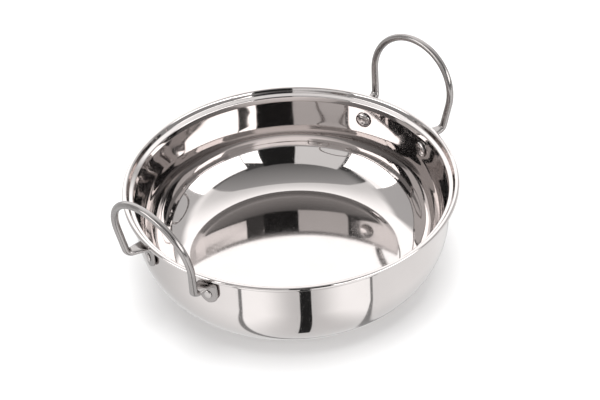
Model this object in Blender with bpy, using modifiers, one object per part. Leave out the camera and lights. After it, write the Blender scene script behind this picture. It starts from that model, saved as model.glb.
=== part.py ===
"""Stainless steel kadai: a polished round pan with two riveted wire loop handles.

The base centre is the origin, +Z is the pan's axis and the handles stand at +X and -X.
All lengths are in metres.
"""
import math

import bmesh
import bpy
from mathutils import Matrix, Vector

# Bowl: one spun sheet, thicker in its base, with a sloped lip and a beaded edge.
# A tight arc off the base runs into a wide one up to the wall where the section slopes by corner_join.
rim_radius = 0.120
bowl_height = 0.0755
sheet_thickness = 0.0010
base_thickness = 0.0031
wall_draft = math.radians(0.5)
wall_corner_radius = 0.0500
base_corner_radius = 0.0284
corner_join = math.radians(35)
lip_width = 0.0071
lip_slope = math.radians(20)
lip_fillet = 0.0020
bead_radius = 0.0011

# Handles: round wire whose ends are forged flat
wire_diameter = 0.0053
tongue_width = 0.0126
tongue_thickness = 0.0022
forged_length = 0.030
loop_bulge = 0.0078
loop_half_height = 0.0338
loop_centre_rise = 0.0179
loop_lean = math.radians(8.4)
loop_start = math.radians(-8)
rim_clearance = 0.0052
lip_clearance = 0.0011
bend_radius = 0.0045
neck_rise = 0.0030

# Rivets
rivet_spacing = 0.0584
rivet_drop = 0.0185
shank_diameter = 0.0048
head_diameter = 0.0120
head_height = 0.0024
head_edge = 0.0005
tail_diameter = 0.0062
tail_height = 0.0010

# Clearance that touching pieces keep, and how far a cutter runs past its cut
fit_gap = 0.0003
cut_overrun = 0.0040

# Facets
bowl_steps = 80
rivet_steps = 20
wire_sides = 12
wall_corner_points = 6
base_corner_points = 5
fillet_points = 4
bead_points = 12
dome_points = 5
tongue_rings = 6
bend_rings = 6
loop_rings = 16
tongue_squareness_share = 0.55
sharp_edge = math.radians(50)

# Sizes worked out from the ones above
wire_radius = wire_diameter / 2
tongue_radius = tongue_width / 2
wall_top_radius = rim_radius - lip_width
loop_half_width = rivet_spacing / 2 + loop_bulge
rivet_height = bowl_height - rivet_drop
rivet_angle = math.asin(rivet_spacing / 2 / wall_top_radius)
merge_distance = sheet_thickness / 20


def polar(angle, radius=1.0):
    """A vector in the profile plane, radius across and height up."""
    return Vector((math.cos(angle), math.sin(angle))) * radius


def arc(centre, radius, start, end, count):
    """Points on a circular arc, both ends included."""
    step = (end - start) / (count - 1)
    return [centre + polar(start + step * i, radius) for i in range(count)]


# The lip's underside runs from the bead's centre line down to the wall
bead_centre = Vector((rim_radius - bead_radius, bowl_height - bead_radius))
lip_along = polar(lip_slope)
lip_down = Vector((lip_along.y, -lip_along.x))
wall_out = polar(-wall_draft)
lip_under = bead_centre + lip_down * sheet_thickness / 2
lip_corner = lip_under - lip_along * (lip_under.x - wall_top_radius) / lip_along.x


def wall_radius(height):
    """Outer radius of the drawn-in wall at a height."""
    return lip_corner.x - (lip_corner.y - height) * math.tan(wall_draft)


def lip_fillet_centre():
    """Centre that lies one fillet radius off both the wall and the lip's underside."""
    across = wall_out.cross(lip_down)
    offset = Vector((lip_down.y - wall_out.y, wall_out.x - lip_down.x)) * (lip_fillet / across)
    return lip_corner + offset


def corner_arcs(inset, lift):
    """Section from the base to the wall, inset from the outer face and lifted off the ground."""
    step_in = wall_corner_radius - base_corner_radius
    height = lift + base_corner_radius + step_in * math.cos(corner_join)
    wall_centre = Vector((wall_radius(height) - wall_corner_radius / math.cos(wall_draft), height))
    join = corner_join - math.pi / 2
    base_centre = wall_centre + polar(join, step_in)
    lower = arc(base_centre, base_corner_radius - inset, -math.pi / 2, join, base_corner_points)
    upper = arc(wall_centre, wall_corner_radius - inset, join, -wall_draft, wall_corner_points)
    return lower + upper[1:]


def bowl_profile():
    """Closed section: floor centre, up the inside, round the bead, down the outside, base centre."""
    fillet = lip_fillet_centre()
    wall_side = math.pi - wall_draft
    lip_side = math.pi / 2 + lip_slope
    inside = corner_arcs(sheet_thickness, base_thickness - sheet_thickness)
    outside = corner_arcs(0, 0)
    inner_fillet = arc(fillet, lip_fillet + sheet_thickness, wall_side, lip_side, fillet_points)
    outer_fillet = arc(fillet, lip_fillet, lip_side, wall_side, fillet_points)
    opening = math.asin(sheet_thickness / 2 / bead_radius)
    bead = arc(bead_centre, bead_radius, math.pi + lip_slope - opening,
               lip_slope - math.pi + opening, bead_points)
    floor_centre = Vector((0, base_thickness))
    base_centre = Vector((0, 0))
    return [floor_centre] + inside + inner_fillet + bead + outer_fillet + outside[::-1] + [base_centre]


def rivet_profile(grip):
    """Domed head above the seat at height 0, shank through the grip, small peened tail below."""
    head_radius = head_diameter / 2
    tail_radius = tail_diameter / 2
    shank_radius = shank_diameter / 2
    half_turn = math.pi / 2
    dome = [(head_radius * math.sin(half_turn * i / dome_points),
             head_edge + (head_height - head_edge) * math.cos(half_turn * i / dome_points))
            for i in range(dome_points + 1)]
    tail = [(tail_radius * math.cos(half_turn * i / dome_points),
             -grip - tail_height * math.sin(half_turn * i / dome_points))
            for i in range(dome_points + 1)]
    shank = [(head_radius, 0), (shank_radius, 0), (shank_radius, -grip)]
    dome[0] = (0, head_height)
    tail[-1] = (0, -grip - tail_height)
    return [Vector(point) for point in dome + shank + tail]


def steel(name, tint, roughness):
    """A metal with its own colour and polish."""
    material = bpy.data.materials.new(name)
    material.use_nodes = True
    shader = material.node_tree.nodes["Principled BSDF"]
    shader.inputs["Base Color"].default_value = (*tint, 1)
    shader.inputs["Metallic"].default_value = 1
    shader.inputs["Roughness"].default_value = roughness
    return material


def add_object(name, mesh, collection, material=None):
    """Link a mesh as a named object."""
    if material:
        mesh.materials.append(material)
    piece = bpy.data.objects.new(name, mesh)
    collection.objects.link(piece)
    return piece


def turned(name, profile, steps, collection, material):
    """A profile swept once round its own Z axis."""
    mesh = bpy.data.meshes.new(name)
    points = [(point.x, 0, point.y) for point in profile]
    mesh.from_pydata(points, [(i, i + 1) for i in range(len(points) - 1)], [])
    piece = add_object(name, mesh, collection, material)
    screw = piece.modifiers.new("Turn", "SCREW")
    screw.axis = "Z"
    screw.angle = 2 * math.pi
    screw.steps = steps
    screw.render_steps = steps
    screw.use_merge_vertices = True
    screw.merge_threshold = merge_distance
    screw.use_smooth_shade = True
    return piece


def bore(piece, cutter, name):
    """Cut one hole in a piece."""
    cut = piece.modifiers.new(name, "BOOLEAN")
    cut.operation = "DIFFERENCE"
    cut.solver = "EXACT"
    cut.object = cutter


def foot_frame(side):
    """Outward and sideways directions at the rivet on one side of the handle at +X."""
    angle = rivet_angle * side
    return Vector((math.cos(angle), math.sin(angle), 0)), Vector((-math.sin(angle), math.cos(angle), 0))


def tongue_seat():
    """Distance from the pan's axis to the flat inner face of a tongue."""
    return wall_top_radius + fit_gap


def loop_point(angle):
    """Point on the loop's oval, which leans outward over the rim."""
    side = loop_half_width * math.cos(angle)
    rise = loop_centre_rise + loop_half_height * math.sin(angle)
    plane_radius = rim_radius + rim_clearance + wire_radius
    return Vector((plane_radius + rise * math.sin(loop_lean), side, bowl_height + rise * math.cos(loop_lean)))


def loop_direction(angle):
    """Direction of travel round the loop."""
    rise = loop_half_height * math.cos(angle)
    side = -loop_half_width * math.sin(angle)
    return Vector((rise * math.sin(loop_lean), side, rise * math.cos(loop_lean))).normalized()


def bend(corner, before, after):
    """Points and directions round a corner of the wire."""
    turn = before.angle(after)
    inward = (after - before * before.dot(after)).normalized()
    centre = corner - before * (bend_radius * math.tan(turn / 2)) + inward * bend_radius
    stops = []
    for i in range(bend_rings):
        angle = turn * i / (bend_rings - 1)
        point = centre - inward * (bend_radius * math.cos(angle)) + before * (bend_radius * math.sin(angle))
        stops.append((point, before * math.cos(angle) + inward * math.sin(angle)))
    return stops


def smooth_step(t):
    return t * t * (3 - 2 * t)


def handle_stations():
    """Half of the wire, tongue tip to loop top: point, direction, width, thickness, squareness."""
    outward, _ = foot_frame(1)
    up = Vector((0, 0, 1))
    rivet_point = outward * (tongue_seat() + tongue_thickness / 2) + up * rivet_height
    stations = []
    for i in range(tongue_rings):
        angle = math.pi / 2 * (1 - (i + 0.5) / tongue_rings)
        point = rivet_point - up * (tongue_radius * math.sin(angle))
        stations.append((point, up, tongue_width * math.cos(angle), tongue_thickness, tongue_squareness_share))
    stations.append((rivet_point, up, tongue_width, tongue_thickness, tongue_squareness_share))

    neck = rivet_point + up * neck_rise
    leg_top = loop_point(loop_start)
    leg_direction = loop_direction(loop_start)
    bend_height = bowl_height - 2 * bead_radius - lip_clearance - wire_radius
    inner_corner = Vector((neck.x, neck.y, bend_height))
    outer_corner = leg_top - leg_direction * ((leg_top.z - bend_height) / leg_direction.z)
    under_lip = (outer_corner - inner_corner).normalized()
    stops = [(neck, up)] + bend(inner_corner, up, under_lip) + bend(outer_corner, under_lip, leg_direction)
    for i in range(loop_rings + 1):
        angle = loop_start + (math.pi / 2 - loop_start) * i / loop_rings
        stops.append((loop_point(angle), loop_direction(angle)))

    travelled = 0
    last_point = neck
    for point, direction in stops:
        travelled += (point - last_point).length
        last_point = point
        blend = smooth_step(min(travelled / forged_length, 1))
        width = tongue_width + (wire_diameter - tongue_width) * blend
        thickness = tongue_thickness + (wire_diameter - tongue_thickness) * blend
        squareness = tongue_squareness_share + (1 - tongue_squareness_share) * blend
        stations.append((point, direction, width, thickness, squareness))
    return stations


def signed_power(value, power):
    return math.copysign(abs(value) ** power, value)


def handle_rings():
    """Rings of points for the whole wire; the second half mirrors the first."""
    _, across = foot_frame(1)
    last_direction = Vector((0, 0, 1))
    rings = []
    for point, direction, width, thickness, squareness in handle_stations():
        across = last_direction.rotation_difference(direction) @ across
        last_direction = direction
        normal = direction.cross(across)
        ring = []
        for k in range(wire_sides):
            angle = 2 * math.pi * k / wire_sides
            x = signed_power(math.cos(angle), squareness) * width / 2
            y = signed_power(math.sin(angle), squareness) * thickness / 2
            ring.append(point + across * x + normal * y)
        rings.append(ring)
    mirror = Matrix.Diagonal((1, -1, 1))
    mirrored = [[mirror @ point for point in ring] for ring in reversed(rings[:-1])]
    return rings + mirrored


def handle_mesh(name):
    """Loft through the rings, closed at both tongue tips."""
    mesh = bmesh.new()
    rows = [[mesh.verts.new(point) for point in ring] for ring in handle_rings()]
    for lower, upper in zip(rows, rows[1:]):
        for k in range(wire_sides):
            following = (k + 1) % wire_sides
            mesh.faces.new((lower[k], lower[following], upper[following], upper[k]))
    mesh.faces.new(rows[0])
    mesh.faces.new(rows[-1])
    bmesh.ops.recalc_face_normals(mesh, faces=mesh.faces)
    data = bpy.data.meshes.new(name)
    mesh.to_mesh(data)
    mesh.free()
    data.shade_smooth()
    data.set_sharp_from_angle(angle=sharp_edge)
    return data


def rivet_cutter(name, matrix, grip, collection):
    """Cylinder that clears the shank through the wall and the tongue."""
    mesh = bmesh.new()
    bmesh.ops.create_cone(mesh, cap_ends=True, segments=rivet_steps,
                          radius1=shank_diameter / 2 + fit_gap, radius2=shank_diameter / 2 + fit_gap,
                          depth=grip + 2 * cut_overrun)
    data = bpy.data.meshes.new(name)
    mesh.to_mesh(data)
    mesh.free()
    cutter = add_object(name, data, collection)
    cutter.matrix_world = matrix @ Matrix.Translation((0, 0, -grip / 2))
    cutter.display_type = "WIRE"
    cutter.hide_render = True
    return cutter


def rivet_seat():
    """Distance from the pan's axis to the underside of a rivet head, clear of the hollow wall."""
    inner = wall_radius(rivet_height - head_diameter / 2) - sheet_thickness / math.cos(wall_draft)
    inner *= math.cos(math.pi / bowl_steps)
    return math.sqrt(inner ** 2 - (head_diameter / 2) ** 2) - fit_gap


def rivet_matrix(side):
    """Seat of the rivet on one side of the handle at +X, its head pointing to the pan's axis."""
    outward, across = foot_frame(side)
    up = Vector((0, 0, 1))
    turn = Matrix((-across, up, -outward)).transposed().to_4x4()
    return Matrix.Translation(outward * rivet_seat() + up * rivet_height) @ turn


def build():
    for old in list(bpy.data.objects):
        bpy.data.objects.remove(old)
    kadai = bpy.data.collections.new("stainless_steel_kadai")
    cutters = bpy.data.collections.new("cutters")
    for collection in (kadai, cutters):
        bpy.context.scene.collection.children.link(collection)

    bowl = turned("bowl", bowl_profile(), bowl_steps, kadai,
                  steel("polished_steel", (0.63, 0.60, 0.58), 0.06))
    wire_steel = steel("wire_steel", (0.61, 0.58, 0.56), 0.12)
    rivet_steel = steel("rivet_steel", (0.59, 0.56, 0.54), 0.16)
    grip = tongue_seat() + tongue_thickness + fit_gap - rivet_seat()

    for side_name, turn in (("right", 0), ("left", math.pi)):
        placing = Matrix.Rotation(turn, 4, "Z")
        handle = add_object("handle_" + side_name, handle_mesh("handle_" + side_name), kadai, wire_steel)
        handle.matrix_world = placing
        for end_name, side in (("front", -1), ("back", 1)):
            label = side_name + "_" + end_name
            matrix = placing @ rivet_matrix(side if turn == 0 else -side)
            rivet = turned("rivet_" + label, rivet_profile(grip), rivet_steps, kadai, rivet_steel)
            rivet.matrix_world = matrix
            cutter = rivet_cutter("cut_" + label, matrix, grip, cutters)
            bore(bowl, cutter, "Rivet hole " + label)
            bore(handle, cutter, "Rivet hole " + label)


build()
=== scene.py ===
"""Looks of the stainless steel kadai: mirror-polished steel, its fine marks, a studio and a camera.

All lengths are in metres. The base centre is the origin, +Z is the pan's axis and the handles stand
at +X and -X.
"""
import math

import bmesh
import bpy
from mathutils import Matrix, Vector


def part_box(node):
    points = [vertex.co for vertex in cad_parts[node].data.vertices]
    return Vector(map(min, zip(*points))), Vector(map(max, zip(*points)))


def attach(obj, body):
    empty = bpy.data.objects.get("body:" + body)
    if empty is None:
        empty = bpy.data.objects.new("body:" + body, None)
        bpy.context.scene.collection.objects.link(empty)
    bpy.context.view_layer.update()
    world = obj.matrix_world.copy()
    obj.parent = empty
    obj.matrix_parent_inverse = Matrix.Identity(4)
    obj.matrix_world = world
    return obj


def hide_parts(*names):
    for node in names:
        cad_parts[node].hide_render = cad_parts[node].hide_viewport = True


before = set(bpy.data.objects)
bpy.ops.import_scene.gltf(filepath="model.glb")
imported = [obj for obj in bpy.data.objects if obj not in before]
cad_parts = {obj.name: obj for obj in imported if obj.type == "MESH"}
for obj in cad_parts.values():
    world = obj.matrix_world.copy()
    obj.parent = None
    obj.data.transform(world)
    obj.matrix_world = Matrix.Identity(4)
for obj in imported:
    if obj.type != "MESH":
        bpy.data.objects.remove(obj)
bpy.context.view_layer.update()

# Sizes read from the frame
_, bowl_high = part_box("bowl")
rim_radius = bowl_high.x
bowl_height = bowl_high.z
rim_centre = Vector((0, 0, bowl_height))

# The bowl's section
sheet_thickness = 0.0010
base_thickness = 0.0031
wall_draft = math.radians(0.5)
wall_corner_radius = 0.0500
base_corner_radius = 0.0284
corner_join = math.radians(35)
lip_width = 0.0071
wall_top_radius = rim_radius - lip_width
wall_top_drop = 0.0038

# The lip: a band that leans out, a ledge, a steep edge and the rolled bead that it ends in
band_drop = 0.0090
band_length = 0.0036
band_slope = math.radians(80)
ledge_slope = math.radians(25)
edge_slope = math.radians(66)
bead_radius = 0.0018
band_bend = 0.0030
ledge_bend = 0.0008
edge_bend = 0.0015
bead_centre = Vector((rim_radius - bead_radius, bowl_height - bead_radius))

# Ripple of the spun sheet: its depth, then the share of each wave, its length up the section, its
# petals round the bowl and its phase
ripple_depth = 0.00003
ripples = ((1.00, 0.040, 3, 0.4), (0.70, 0.027, 5, 2.1), (0.25, 0.016, 9, 4.0))

# Handles
wire_diameter = 0.0053
tongue_width = 0.0142
tongue_thickness = 0.0022
forged_length = 0.030
loop_bulge = 0.0078
loop_half_height = 0.0338
loop_centre_rise = 0.0179
loop_lean = math.radians(8.4)
loop_start = math.radians(-8)
rim_clearance = 0.0052
lip_clearance = 0.0011
bend_radius = 0.0045
neck_rise = 0.0030
tongue_squareness_share = 0.55
wire_radius = wire_diameter / 2
tongue_radius = tongue_width / 2

# Rivets
rivet_spacing = 0.0584
rivet_drop = 0.0185
shank_diameter = 0.0048
head_diameter = 0.0120
head_height = 0.0024
head_edge = 0.0005
tail_diameter = 0.0062
tail_height = 0.0010
fit_gap = 0.0003
loop_half_width = rivet_spacing / 2 + loop_bulge
rivet_height = bowl_height - rivet_drop
rivet_angle = math.asin(rivet_spacing / 2 / wall_top_radius)

# Facets of the fine surfaces; the bowl's section is cut into short steps, which keeps its reflections
# true
sharp_edge = math.radians(50)
section_step = 0.0012
bowl_steps = 360
corner_points = 60
lip_bend_points = 16
bead_points = 32
rivet_steps = 64
dome_points = 16
wire_sides = 32
tongue_rings = 24
bend_rings = 16
loop_rings = 60

# Camera, fitted to the rim's ellipse in the photo; its lens and sensor are in millimetres
camera_distance = 11 * rim_radius
camera_azimuth = math.radians(-43.8)
camera_elevation = math.radians(36.9)
camera_roll = math.radians(-2.9)
camera_lens = 111.3
sensor_width = 36
aim_right = 0.0502 * rim_radius
aim_up = -0.1217 * rim_radius


def polar(angle, radius=1.0):
    """A vector in the profile plane, radius across and height up."""
    return Vector((math.cos(angle), math.sin(angle))) * radius


def arc(centre, radius, start, end, count):
    """Points on a circular arc, both ends included."""
    step = (end - start) / (count - 1)
    return [centre + polar(start + step * i, radius) for i in range(count)]


def smooth_step(t):
    """0 to 1 with level ends, for t from 0 to 1."""
    return t * t * (3 - 2 * t)


def signed_power(value, power):
    """The power of a value's size, with the value's sign."""
    return math.copysign(abs(value) ** power, value)


def wall_radius(height):
    """Outer radius of the drawn-in wall at a height."""
    return wall_top_radius - (bowl_height - wall_top_drop - height) * math.tan(wall_draft)


def corner_arcs(inset, lift):
    """Section from the base to the wall, inset from the outer face and lifted off the ground."""
    step_in = wall_corner_radius - base_corner_radius
    height = lift + base_corner_radius + step_in * math.cos(corner_join)
    wall_centre = Vector((wall_radius(height) - wall_corner_radius / math.cos(wall_draft), height))
    join = corner_join - math.pi / 2
    base_centre = wall_centre + polar(join, step_in)
    return (arc(base_centre, base_corner_radius - inset, -math.pi / 2, join, corner_points)
            + arc(wall_centre, wall_corner_radius - inset, join, -wall_draft, corner_points)[1:])


def left_of(direction):
    """The direction a quarter turn to the left in the profile plane."""
    return Vector((-direction.y, direction.x))


def rounded(corners, radii):
    """Points and left-hand normals round the inner corners of a line."""
    stops = []
    for before, corner, after, radius in zip(corners, corners[1:], corners[2:], radii):
        enter = (corner - before).normalized()
        leave = (after - corner).normalized()
        turn = math.atan2(enter.cross(leave), enter.dot(leave))
        reach = math.copysign(radius, turn)
        centre = corner - enter * abs(reach * math.tan(turn / 2)) + left_of(enter) * reach
        for i in range(lip_bend_points):
            normal = Matrix.Rotation(turn * i / (lip_bend_points - 1), 2) @ left_of(enter)
            stops.append((centre - normal * reach, normal))
    return stops


def lip_stops():
    """Points and normals along the middle of the sheet, from the top of the wall to the bead."""
    band_height = bowl_height - band_drop
    band_foot = Vector((wall_radius(band_height) - sheet_thickness / 2, band_height))
    band_top = band_foot + polar(band_slope) * band_length
    edge_top = bead_centre + left_of(polar(edge_slope)) * (bead_radius - sheet_thickness / 2)
    ledge = polar(ledge_slope)
    edge = polar(edge_slope)
    ledge_end = band_top + ledge * ((edge_top - band_top).cross(edge) / ledge.cross(edge))
    wall = band_foot - polar(math.pi / 2 - wall_draft) * band_length
    return rounded((wall, band_foot, band_top, ledge_end, edge_top), (band_bend, ledge_bend, edge_bend))


def bowl_profile():
    """Floor centre, up the inside, round the bead, down the outside, base centre."""
    stops = lip_stops()
    inner_lip = [point + normal * sheet_thickness / 2 for point, normal in stops]
    outer_lip = [point - normal * sheet_thickness / 2 for point, normal in stops]
    start = edge_slope + math.pi / 2
    meeting = math.acos(1 - sheet_thickness / bead_radius)
    bead = arc(bead_centre, bead_radius, start, start + meeting - 2 * math.pi, bead_points)
    return ([Vector((0, base_thickness))]
            + corner_arcs(sheet_thickness, base_thickness - sheet_thickness)
            + inner_lip + bead + outer_lip[::-1]
            + corner_arcs(0, 0)[::-1]
            + [Vector((0, 0))])


def even_steps(profile):
    """The same section with its long runs cut into short even steps."""
    fine = [profile[0]]
    for start, end in zip(profile, profile[1:]):
        count = math.ceil((end - start).length / section_step)
        fine += [start.lerp(end, i / count) for i in range(1, count + 1)]
    return fine


def ripple(piece):
    """Push the inner face in and out by a hair, so that its reflections waver as spun steel's do."""
    vertices = piece.data.vertices
    places = [vertex.co.copy() for vertex in vertices]
    normals = [vertex.normal.copy() for vertex in vertices]
    moved = []
    for place, normal in zip(places, normals):
        angle = math.atan2(place.y, place.x)
        travel = math.hypot(place.x, place.y) + place.z
        push = sum(share * math.sin(2 * math.pi * travel / length + phase)
                   * math.cos(petals * angle + phase * share)
                   for share, length, petals, phase in ripples)
        held = smooth_step(min(place.z / base_corner_radius, 1))
        held *= smooth_step(min(max(bowl_height - band_drop - place.z, 0) / band_drop, 1))
        inner = normal.x * place.x + normal.y * place.y < 0
        moved.extend(place + normal * (push * ripple_depth * held * inner))
    vertices.foreach_set("co", moved)


def finish_mesh(name, mesh):
    """Make a smooth object from a mesh under construction."""
    bmesh.ops.recalc_face_normals(mesh, faces=mesh.faces)
    data = bpy.data.meshes.new(name)
    mesh.to_mesh(data)
    mesh.free()
    data.shade_smooth()
    data.set_sharp_from_angle(angle=sharp_edge)
    piece = bpy.data.objects.new(name, data)
    bpy.context.scene.collection.objects.link(piece)
    return piece


def turned(name, profile, steps):
    """A profile swept once round Z, as a closed mesh with shared points on the axis."""
    mesh = bmesh.new()
    rows = []
    for point in profile:
        if point.x == 0:
            rows.append([mesh.verts.new((0, 0, point.y))])
            continue
        rows.append([mesh.verts.new((point.x * math.cos(2 * math.pi * k / steps),
                                     point.x * math.sin(2 * math.pi * k / steps), point.y))
                     for k in range(steps)])
    for upper, lower in zip(rows, rows[1:]):
        for k in range(steps):
            following = (k + 1) % steps
            if len(upper) == 1:
                mesh.faces.new((upper[0], lower[k], lower[following]))
            elif len(lower) == 1:
                mesh.faces.new((upper[following], upper[k], lower[0]))
            else:
                mesh.faces.new((upper[following], upper[k], lower[k], lower[following]))
    return finish_mesh(name, mesh)


def foot_frame(side):
    """Outward and sideways directions at the rivet on one side of the handle at +X."""
    angle = rivet_angle * side
    return Vector((math.cos(angle), math.sin(angle), 0)), Vector((-math.sin(angle), math.cos(angle), 0))


def loop_point(angle):
    """Point on the loop's oval, which leans outward over the rim."""
    side = loop_half_width * math.cos(angle)
    rise = loop_centre_rise + loop_half_height * math.sin(angle)
    plane_radius = rim_radius + rim_clearance + wire_radius
    return Vector((plane_radius + rise * math.sin(loop_lean), side,
                   bowl_height + rise * math.cos(loop_lean)))


def loop_direction(angle):
    """Direction of travel round the loop."""
    rise = loop_half_height * math.cos(angle)
    side = -loop_half_width * math.sin(angle)
    return Vector((rise * math.sin(loop_lean), side, rise * math.cos(loop_lean))).normalized()


def bend(corner, before, after):
    """Points and directions round a corner of the wire."""
    turn = before.angle(after)
    inward = (after - before * before.dot(after)).normalized()
    centre = corner - before * (bend_radius * math.tan(turn / 2)) + inward * bend_radius
    stops = []
    for i in range(bend_rings):
        angle = turn * i / (bend_rings - 1)
        ahead = before * math.cos(angle) + inward * math.sin(angle)
        outward = before * math.sin(angle) - inward * math.cos(angle)
        stops.append((centre + outward * bend_radius, ahead))
    return stops


def handle_stations():
    """Half of the wire, tongue tip to loop top: point, direction, width, thickness, squareness."""
    outward, _ = foot_frame(1)
    up = Vector((0, 0, 1))
    tongue_seat = wall_top_radius + fit_gap
    rivet_point = outward * (tongue_seat + tongue_thickness / 2) + up * rivet_height
    stations = []
    for i in range(tongue_rings):
        angle = math.pi / 2 * (1 - (i + 0.5) / tongue_rings)
        point = rivet_point - up * (tongue_radius * math.sin(angle))
        stations.append((point, up, tongue_width * math.cos(angle), tongue_thickness,
                         tongue_squareness_share))
    stations.append((rivet_point, up, tongue_width, tongue_thickness, tongue_squareness_share))

    neck = rivet_point + up * neck_rise
    leg_top = loop_point(loop_start)
    leg_direction = loop_direction(loop_start)
    bend_height = bowl_height - 2 * bead_radius - lip_clearance - wire_radius
    inner_corner = Vector((neck.x, neck.y, bend_height))
    outer_corner = leg_top - leg_direction * ((leg_top.z - bend_height) / leg_direction.z)
    under_lip = (outer_corner - inner_corner).normalized()
    stops = [(neck, up)]
    stops += bend(inner_corner, up, under_lip)
    stops += bend(outer_corner, under_lip, leg_direction)
    for i in range(loop_rings + 1):
        angle = loop_start + (math.pi / 2 - loop_start) * i / loop_rings
        stops.append((loop_point(angle), loop_direction(angle)))

    travelled = 0
    last_point = neck
    for point, direction in stops:
        travelled += (point - last_point).length
        last_point = point
        blend = smooth_step(min(travelled / forged_length, 1))
        width = tongue_width + (wire_diameter - tongue_width) * blend
        thickness = tongue_thickness + (wire_diameter - tongue_thickness) * blend
        squareness = tongue_squareness_share + (1 - tongue_squareness_share) * blend
        stations.append((point, direction, width, thickness, squareness))
    return stations


def handle(name, turn):
    """Loft of the whole wire; its second half mirrors the first."""
    _, across = foot_frame(1)
    last_direction = Vector((0, 0, 1))
    rings = []
    for point, direction, width, thickness, squareness in handle_stations():
        across = last_direction.rotation_difference(direction) @ across
        last_direction = direction
        normal = direction.cross(across)
        ring = []
        for k in range(wire_sides):
            angle = 2 * math.pi * k / wire_sides
            x = signed_power(math.cos(angle), squareness) * width / 2
            y = signed_power(math.sin(angle), squareness) * thickness / 2
            ring.append(point + across * x + normal * y)
        rings.append(ring)
    mirror = Matrix.Diagonal((1, -1, 1))
    rings += [[mirror @ point for point in ring] for ring in reversed(rings[:-1])]

    placing = Matrix.Rotation(turn, 3, "Z")
    mesh = bmesh.new()
    rows = [[mesh.verts.new(placing @ point) for point in ring] for ring in rings]
    for lower, upper in zip(rows, rows[1:]):
        for k in range(wire_sides):
            following = (k + 1) % wire_sides
            mesh.faces.new((lower[k], lower[following], upper[following], upper[k]))
    mesh.faces.new(rows[0])
    mesh.faces.new(rows[-1])
    return finish_mesh(name, mesh)


def rivet(name, turn, side):
    """Domed head inside the bowl, shank through the wall and the tongue, small peened tail."""
    inner = wall_radius(rivet_height - head_diameter / 2) - sheet_thickness / math.cos(wall_draft)
    seat = math.sqrt(inner ** 2 - (head_diameter / 2) ** 2) - fit_gap
    grip = wall_top_radius + fit_gap + tongue_thickness + fit_gap - seat
    steps = [math.pi / 2 * i / dome_points for i in range(dome_points + 1)]
    dome_rise = head_height - head_edge
    dome = [Vector((head_diameter / 2 * math.sin(a), head_edge + dome_rise * math.cos(a)))
            for a in steps]
    shank = [Vector((head_diameter / 2, 0)), Vector((shank_diameter / 2, 0)),
             Vector((shank_diameter / 2, -grip))]
    tail = [Vector((tail_diameter / 2 * math.cos(a), -grip - tail_height * math.sin(a))) for a in steps]
    dome[0].x = 0
    tail[-1].x = 0
    piece = turned(name, dome + shank + tail, rivet_steps)
    outward, across = foot_frame(side)
    up = Vector((0, 0, 1))
    axes = Matrix((-across, up, -outward)).transposed().to_4x4()
    place = Matrix.Translation(outward * seat + up * rivet_height) @ axes
    piece.data.transform(Matrix.Rotation(turn, 4, "Z") @ place)
    return piece


# Sockets of the colour mixing node, which has several of one name
mix_share, mix_first, mix_second, mix_result = 0, 6, 7, 2

# Steel: the light that one mirroring returns, and how the polish differs from piece to piece
steel_tint = (0.625, 0.590, 0.578)
# The wire's and the rivets' tints are the bowl's steel made darker: painted shade for the darker
# reflections they show
wire_tint_with_painted_shade = (0.330, 0.311, 0.304)
rivet_tint_with_painted_shade = (0.500, 0.472, 0.462)
worn_share = 0.94
bowl_polish = dict(roughness=0.022, uneven=0.016, marks=0.05, haze=0.10)
wire_polish = dict(roughness=0.130, uneven=0.080, marks=0.14, haze=0.20)
rivet_polish = dict(roughness=0.090, uneven=0.060, marks=0.12, haze=0.20)
haze_roughness = 0.30

# The raised floor inside the bowl, rubbed duller up to a height
floor_rub = 0.03
floor_rub_height = base_thickness + 0.0006
floor_rub_fade = 0.0006

# Patterns: waves of noise to the metre, the least and greatest noise that count, and the hairlines,
# which are the peaks of a noise drawn out along two directions
noise_low = 0.3
noise_high = 0.7
smudge_scale = 24
smudge_detail = 4
mark_turns = (0.5, 2.2)
mark_scale = 260
mark_detail = 2
mark_stretch = 26
mark_peak = 0.70
mark_softness = 0.04
mark_depth = 0.000002
dent_scale = 420
dent_detail = 1
dent_depth = 0.00006

# Studio, in the world round the pan. Lights are strengths, and an edge is its place and its softness.
# A direction's height is kept from zero where it divides.
tent_light = 1.80
horizon_edge = (0.0, 2.0)
least_height = 0.001

# Panels and soft boxes, in degrees round from the camera and up from level: left, right, bottom, top,
# how the top slants, how soft the edges are, and the light
side_screens = (
    (-134.0, -86.0, 0.0, 46.0, 0.00, 10.0, 0.62),
    (82.0, 150.0, 0.0, 40.0, 0.00, 10.0, 0.70),
)
front_panels = (
    (-55.0, 40.0, -2.0, 44.0, 0.00, 3.0, 0.08),
    (-44.5, -4.5, 3.0, 46.0, 0.00, 2.0, 0.95),
    (-4.5, 23.0, -2.0, 45.0, 0.00, 1.5, 0.018),
    (23.0, 36.0, 2.0, 33.5, -0.70, 1.2, 3.6),
    (-89.0, -47.0, 3.0, 40.8, -0.15, 1.0, 1.65),
    (-89.0, -47.0, 3.0, 37.6, 0.00, 1.5, 3.5),
    (37.0, 84.0, 3.0, 39.9, 0.00, 1.0, 1.90),
    (37.0, 84.0, 3.0, 37.6, 0.00, 1.5, 3.5),
    (-100.0, 100.0, -4.0, 13.6, 0.00, 1.6, 0.36),
)

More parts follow.
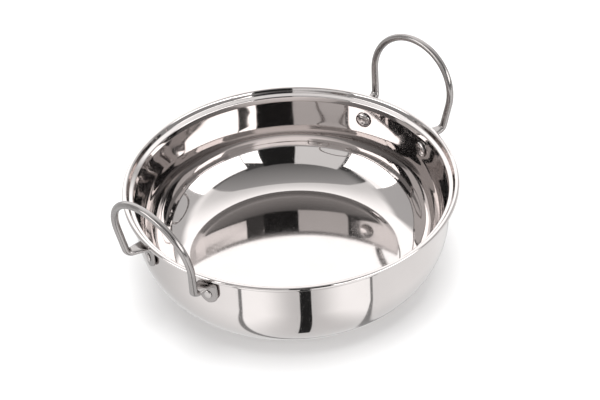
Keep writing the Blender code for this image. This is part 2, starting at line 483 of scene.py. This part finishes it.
# Ceiling: a grey sheet from over the pan towards the camera, darker at its front and its sides, with a
# dimmer tent behind it. Places on it are to the right and towards the camera, in the sheet's heights.
ceiling_left_edge = (-1.00, 0.12)
ceiling_right_start = 1.32
ceiling_right_slope = -0.45
ceiling_right_edge = (0.0, 0.12)
ceiling_back_edge = (0.06, 0.05)
ceiling_back_bow = 0.2
ceiling_front_edge = (1.75, 0.05)
ceiling_back_light = 0.48
ceiling_front_light = 0.16
ceiling_shade_start = 0.10
ceiling_shade_end = 1.0
ceiling_border_light = 0.13
ceiling_left_border = (-0.80, 0.30)
ceiling_right_border = (-0.12, 0.15)
dim_tent_light = 0.95
dim_tent_edge = (-0.35, 1.0)
dim_tent_reach = 1.1
dim_tent_softness = 0.4

# Table: a pale sheet under the pan, whose white middle lies between two dark gaps and has a dark slot.
# Places on it are to the right and towards the camera, in the sheet's depths.
table_near_left_light = 1.28
table_far_left_light = 0.80
table_right_light = 1.13
table_near_turn = (0.0, 1.0)
table_far_turn = (0.6, 0.8)
table_near_edge = (0.0, 1.6)
middle_light = 1.50
middle_side_light = 0.86
middle_centre = 0.09
middle_side_edge = (0.35, 0.50)
middle_edge = (0.0, 0.04)
gap_light = 0.32
gap_side_edge = (0.030, 0.030)
left_gap_start = -0.29
left_gap_slope = -0.56
right_gap_start = 0.44
right_gap_slope = 0.62
right_gap_curve = 0.33
slot_light = 0.02
slot_left_start = -0.005
slot_left_slope = 0.04
slot_right_start = 0.055
slot_right_slope = 0.135
slot_side_edge = (0.0, 0.01)
slot_back_edge = (0.02, 0.05)

# Floor: its size, its paleness, and the light that the camera sees added to it
floor_size = 60 * rim_radius
floor_tint = (0.82, 0.82, 0.82)
floor_lift = 0.06

# Soft overhead lamp, which lights only what is matt
lamp_strength = 1.45
lamp_softness = math.radians(28)
lamp_tilt = math.radians(9)


def add_node(tree, kind, inputs=None, **settings):
    """Add a node; an input given as a socket is linked and one given as a value is set."""
    made = tree.nodes.new(kind)
    for name, value in settings.items():
        setattr(made, name, value)
    for name, value in (inputs or {}).items():
        socket = made.inputs[name]
        if isinstance(value, bpy.types.NodeSocket):
            tree.links.new(value, socket)
        else:
            socket.default_value = value
    return made


def work_out(tree, operation, *values):
    """One step of arithmetic between numbers or sockets."""
    return add_node(tree, "ShaderNodeMath", dict(enumerate(values)), operation=operation).outputs[0]


def past(tree, value, edge, softness):
    """0 before an edge and 1 past it, smooth over the softness."""
    bounds = {"Value": value, "From Min": edge - softness / 2, "From Max": edge + softness / 2}
    return add_node(tree, "ShaderNodeMapRange", bounds, interpolation_type="SMOOTHSTEP").outputs[0]


def all_of(tree, first, *others):
    """Where every mask holds."""
    for other in others:
        first = work_out(tree, "MULTIPLY", first, other)
    return first


def opposite(tree, mask):
    """Where the mask doesn't hold."""
    return work_out(tree, "SUBTRACT", 1, mask)


def inside(tree, value, low, high, softness):
    """1 between two edges and 0 outside them."""
    return all_of(tree, past(tree, value, low, softness),
                  opposite(tree, past(tree, value, high, softness)))


def put(tree, mask, level, under):
    """The given light where the mask is 1 and what was there where it is 0."""
    spread = {"Value": mask, "To Min": under, "To Max": level}
    return add_node(tree, "ShaderNodeMapRange", spread).outputs[0]


def slanted(tree, value, slope, start):
    """A place that moves along with a value."""
    return work_out(tree, "MULTIPLY_ADD", value, slope, start)


def noise(tree, vector, scale, detail):
    """Noise spread between 0 and 1."""
    pattern = add_node(tree, "ShaderNodeTexNoise", {"Vector": vector, "Scale": scale, "Detail": detail})
    spread = {"Value": pattern.outputs["Fac"], "From Min": noise_low, "From Max": noise_high}
    return add_node(tree, "ShaderNodeMapRange", spread).outputs[0]


def fine_marks(tree, place):
    """Sparse hairline marks that lie in two directions."""
    marks = []
    for turn in mark_turns:
        turned_place = add_node(tree, "ShaderNodeVectorRotate", {"Vector": place, "Angle": turn},
                                rotation_type="AXIS_ANGLE").outputs[0]
        drawn_out = {"Vector": turned_place, "Scale": (mark_stretch, 1, 1)}
        lines = {"Vector": add_node(tree, "ShaderNodeMapping", drawn_out).outputs[0],
                 "Scale": mark_scale, "Detail": mark_detail}
        line = add_node(tree, "ShaderNodeTexNoise", lines).outputs["Fac"]
        marks.append(past(tree, line, mark_peak, mark_softness))
    return work_out(tree, "MAXIMUM", *marks)


def steel(name, tint, polish, dents=False, rubbed=False):
    """Polished steel with haze, smudges and hairlines; hammered dents or a rubbed floor where asked."""
    material = bpy.data.materials.new(name)
    material.use_nodes = True
    tree = material.node_tree
    shader = tree.nodes["Principled BSDF"]
    place = add_node(tree, "ShaderNodeTexCoord").outputs["Object"]
    smudge = noise(tree, place, smudge_scale, smudge_detail)
    marks = fine_marks(tree, place)

    worn = [channel * worn_share for channel in tint]
    colours = {mix_share: smudge, mix_first: (*tint, 1), mix_second: (*worn, 1)}
    colour = add_node(tree, "ShaderNodeMix", colours, data_type="RGBA").outputs[mix_result]
    tree.links.new(colour, shader.inputs["Base Color"])
    shader.inputs["Metallic"].default_value = 1
    rough = work_out(tree, "MULTIPLY_ADD", smudge, polish["uneven"], polish["roughness"])
    rough = work_out(tree, "MULTIPLY_ADD", marks, polish["marks"], rough)
    if rubbed:
        height = add_node(tree, "ShaderNodeSeparateXYZ", {"Vector": place}).outputs["Z"]
        clear = past(tree, height, floor_rub_height, floor_rub_fade)
        rub = work_out(tree, "MULTIPLY_ADD", clear, -floor_rub, floor_rub)
        rough = work_out(tree, "ADD", rough, rub)
    tree.links.new(rough, shader.inputs["Roughness"])
    shader.inputs["Coat Weight"].default_value = polish["haze"]
    shader.inputs["Coat Roughness"].default_value = haze_roughness

    scratch = {"Height": marks, "Distance": mark_depth, "Strength": 1.0}
    relief = add_node(tree, "ShaderNodeBump", scratch, invert=True).outputs[0]
    if dents:
        dent = {"Height": noise(tree, place, dent_scale, dent_detail), "Distance": dent_depth,
                "Strength": 1.0, "Normal": relief}
        relief = add_node(tree, "ShaderNodeBump", dent).outputs[0]
    tree.links.new(relief, shader.inputs["Normal"])
    return material


def camera_axes():
    """Level direction towards the camera and level direction to its right."""
    toward = Vector((math.sin(camera_azimuth), -math.cos(camera_azimuth), 0))
    return toward, Vector((math.cos(camera_azimuth), math.sin(camera_azimuth), 0))


def on_sheet(tree, across, along, height):
    """Where a direction meets a flat sheet at a height of one: to the right and towards the camera."""
    height = work_out(tree, "MAXIMUM", height, least_height)
    return work_out(tree, "DIVIDE", across, height), work_out(tree, "DIVIDE", along, height)


def light_ceiling(tree, place_x, place_y, above, light):
    """Lay the dimmer tent and the grey ceiling over the light."""
    dim = all_of(tree, past(tree, place_y, *dim_tent_edge), above,
                 inside(tree, place_x, -dim_tent_reach, dim_tent_reach, dim_tent_softness))
    light = put(tree, dim, dim_tent_light, light)

    right_side = slanted(tree, place_y, ceiling_right_slope, ceiling_right_start)
    from_right = work_out(tree, "SUBTRACT", place_x, right_side)
    square = work_out(tree, "MULTIPLY", place_x, place_x)
    past_back = slanted(tree, square, -ceiling_back_bow, place_y)
    ceiling = all_of(tree, above, past(tree, place_x, *ceiling_left_edge),
                     opposite(tree, past(tree, from_right, *ceiling_right_edge)),
                     past(tree, past_back, *ceiling_back_edge),
                     opposite(tree, past(tree, place_y, *ceiling_front_edge)))
    shade = {"Value": place_y, "From Min": ceiling_shade_start, "From Max": ceiling_shade_end,
             "To Min": ceiling_back_light, "To Max": ceiling_front_light}
    light = put(tree, ceiling, add_node(tree, "ShaderNodeMapRange", shade).outputs[0], light)

    border = work_out(tree, "ADD", opposite(tree, past(tree, place_x, *ceiling_left_border)),
                      past(tree, from_right, *ceiling_right_border))
    border = all_of(tree, work_out(tree, "MINIMUM", border, 1), ceiling)
    return put(tree, border, ceiling_border_light, light)


def light_panels(tree, round_angle, up_angle, light):
    """Stand the screens and soft boxes in front of the light."""
    for left, right, bottom, top, slant, softness, level in side_screens + front_panels:
        top_here = slanted(tree, round_angle, slant, top - slant * (left + right) / 2)
        below_top = work_out(tree, "SUBTRACT", top_here, up_angle)
        panel = all_of(tree, inside(tree, round_angle, left, right, softness),
                       past(tree, up_angle, bottom, softness), past(tree, below_top, 0, softness))
        light = put(tree, panel, level, light)
    return light


def light_table(tree, place_x, place_y, below, light):
    """Lay the table, its white middle, its gaps and its slot under the light."""
    near_turn = past(tree, place_x, *table_near_turn)
    near_light = put(tree, near_turn, table_right_light, table_near_left_light)
    far_turn = past(tree, place_x, *table_far_turn)
    far_light = put(tree, far_turn, table_right_light, table_far_left_light)
    table = put(tree, past(tree, place_y, *table_near_edge), near_light, far_light)
    light = put(tree, below, table, light)

    left_gap = slanted(tree, place_y, left_gap_slope, left_gap_start)
    right_slope = slanted(tree, place_y, right_gap_curve, right_gap_slope)
    right_gap = slanted(tree, place_y, right_slope, right_gap_start)
    from_left_gap = work_out(tree, "SUBTRACT", place_x, left_gap)
    from_right_gap = work_out(tree, "SUBTRACT", right_gap, place_x)
    middle = all_of(tree, past(tree, from_left_gap, *middle_edge),
                    past(tree, from_right_gap, *middle_edge))
    from_centre = work_out(tree, "ABSOLUTE", work_out(tree, "SUBTRACT", place_x, middle_centre))
    white = put(tree, past(tree, from_centre, *middle_side_edge), middle_light, middle_side_light)
    light = put(tree, all_of(tree, below, middle), white, light)
    for from_gap in (from_left_gap, from_right_gap):
        past_gap = past(tree, work_out(tree, "ABSOLUTE", from_gap), *gap_side_edge)
        light = put(tree, all_of(tree, below, opposite(tree, past_gap)), gap_light, light)

    slot_left = slanted(tree, place_y, slot_left_slope, slot_left_start)
    slot_right = slanted(tree, place_y, slot_right_slope, slot_right_start)
    past_left = work_out(tree, "SUBTRACT", place_x, slot_left)
    before_right = work_out(tree, "SUBTRACT", slot_right, place_x)
    slot = all_of(tree, past(tree, past_left, *slot_side_edge),
                  past(tree, before_right, *slot_side_edge),
                  past(tree, place_y, *slot_back_edge))
    return put(tree, all_of(tree, below, slot), slot_light, light)


def add_studio():
    """A white tent with soft boxes, a doorway, a grey ceiling and a pale table, seen in the steel."""
    world = bpy.data.worlds.new("studio")
    bpy.context.scene.world = world
    world.use_nodes = True
    tree = world.node_tree
    direction = add_node(tree, "ShaderNodeTexCoord").outputs["Generated"]
    toward, right = camera_axes()
    across, along = (add_node(tree, "ShaderNodeVectorMath", {0: direction, 1: axis},
                              operation="DOT_PRODUCT").outputs["Value"] for axis in (right, toward))
    height = add_node(tree, "ShaderNodeSeparateXYZ", {"Vector": direction}).outputs["Z"]
    depth = work_out(tree, "MULTIPLY", height, -1)
    degree = math.radians(1)
    round_angle = work_out(tree, "DIVIDE", work_out(tree, "ARCTAN2", across, along), degree)
    up_angle = work_out(tree, "DIVIDE", work_out(tree, "ARCSINE", height), degree)
    above = past(tree, up_angle, *horizon_edge)

    light = light_ceiling(tree, *on_sheet(tree, across, along, height), above, tent_light)
    light = light_panels(tree, round_angle, up_angle, light)
    light = light_table(tree, *on_sheet(tree, across, along, depth), opposite(tree, above), light)

    # The camera itself sees plain white behind the pan
    seen = add_node(tree, "ShaderNodeLightPath").outputs["Is Camera Ray"]
    light = put(tree, seen, 1.0, light)
    tree.links.new(light, tree.nodes["Background"].inputs["Color"])


def add_floor():
    """Pale matt floor for the pan's soft shadow; the steel mirrors the studio's table in its place."""
    mesh = bmesh.new()
    bmesh.ops.create_grid(mesh, x_segments=1, y_segments=1, size=floor_size / 2)
    data = bpy.data.meshes.new("floor")
    mesh.to_mesh(data)
    mesh.free()
    floor = bpy.data.objects.new("floor", data)
    bpy.context.scene.collection.objects.link(floor)
    material = bpy.data.materials.new("floor_white")
    material.use_nodes = True
    shader = material.node_tree.nodes["Principled BSDF"]
    shader.inputs["Base Color"].default_value = (*floor_tint, 1)
    shader.inputs["Roughness"].default_value = 1
    shader.inputs["Specular IOR Level"].default_value = 0
    shader.inputs["Emission Color"].default_value = (*floor_tint, 1)
    seen = add_node(material.node_tree, "ShaderNodeLightPath").outputs["Is Camera Ray"]
    lift = work_out(material.node_tree, "MULTIPLY", seen, floor_lift)
    material.node_tree.links.new(lift, shader.inputs["Emission Strength"])
    data.materials.append(material)
    # It neither shows in the steel nor keeps the studio's light from it
    floor.visible_glossy = False
    floor.visible_shadow = False


def add_lamp():
    """Soft light from above, a little to the camera's side, which deepens the shadow on the floor."""
    data = bpy.data.lights.new("overhead", "SUN")
    data.energy = lamp_strength
    data.angle = lamp_softness
    lamp = bpy.data.objects.new("overhead", data)
    bpy.context.scene.collection.objects.link(lamp)
    _, right = camera_axes()
    lamp.matrix_world = Matrix.Rotation(lamp_tilt, 4, right)
    lamp.visible_glossy = False


def dress(piece, material, slot, *nodes):
    """Give a piece its material, let it stand for its nodes and ride on the part's one body."""
    piece.data.materials.clear()
    piece.data.materials.append(material)
    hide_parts(*nodes)
    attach(piece, "root")


def add_camera():
    """Camera at the photo's viewing angle, rolled as the photo is."""
    level, right = camera_axes()
    toward = level * math.cos(camera_elevation) + Vector((0, 0, math.sin(camera_elevation)))
    up = toward.cross(right)
    place = rim_centre + toward * camera_distance
    aim = rim_centre + right * aim_right + up * aim_up
    data = bpy.data.cameras.new("camera")
    data.lens = camera_lens
    data.sensor_width = sensor_width
    camera = bpy.data.objects.new("camera", data)
    bpy.context.scene.collection.objects.link(camera)
    turn = (aim - place).to_track_quat("-Z", "Y").to_matrix().to_4x4()
    camera.matrix_world = Matrix.Translation(place) @ turn @ Matrix.Rotation(camera_roll, 4, "Z")
    bpy.context.scene.camera = camera


bowl = turned("bowl_fine", even_steps(bowl_profile()), bowl_steps)
ripple(bowl)
dress(bowl, steel("bowl_steel", steel_tint, bowl_polish, rubbed=True), "polished_steel", "bowl")

# The handles and rivets get the darker tints, which are painted shade
handle_steel = steel("handle_steel", wire_tint_with_painted_shade, wire_polish)
rivet_steel = steel("rivet_steel", rivet_tint_with_painted_shade, rivet_polish, dents=True)
for side_name, turn in (("right", 0), ("left", math.pi)):
    node = "handle_" + side_name
    dress(handle(node + "_fine", turn), handle_steel, "wire_steel", node)
    for end_name, side in (("front", -1), ("back", 1)):
        node = "rivet_" + side_name + "_" + end_name
        turned_side = -side if turn else side
        dress(rivet(node + "_fine", turn, turned_side), rivet_steel, "rivet_steel", node)

add_studio()
add_floor()
add_lamp()
add_camera()

bpy.context.scene.view_settings.view_transform = "Standard"
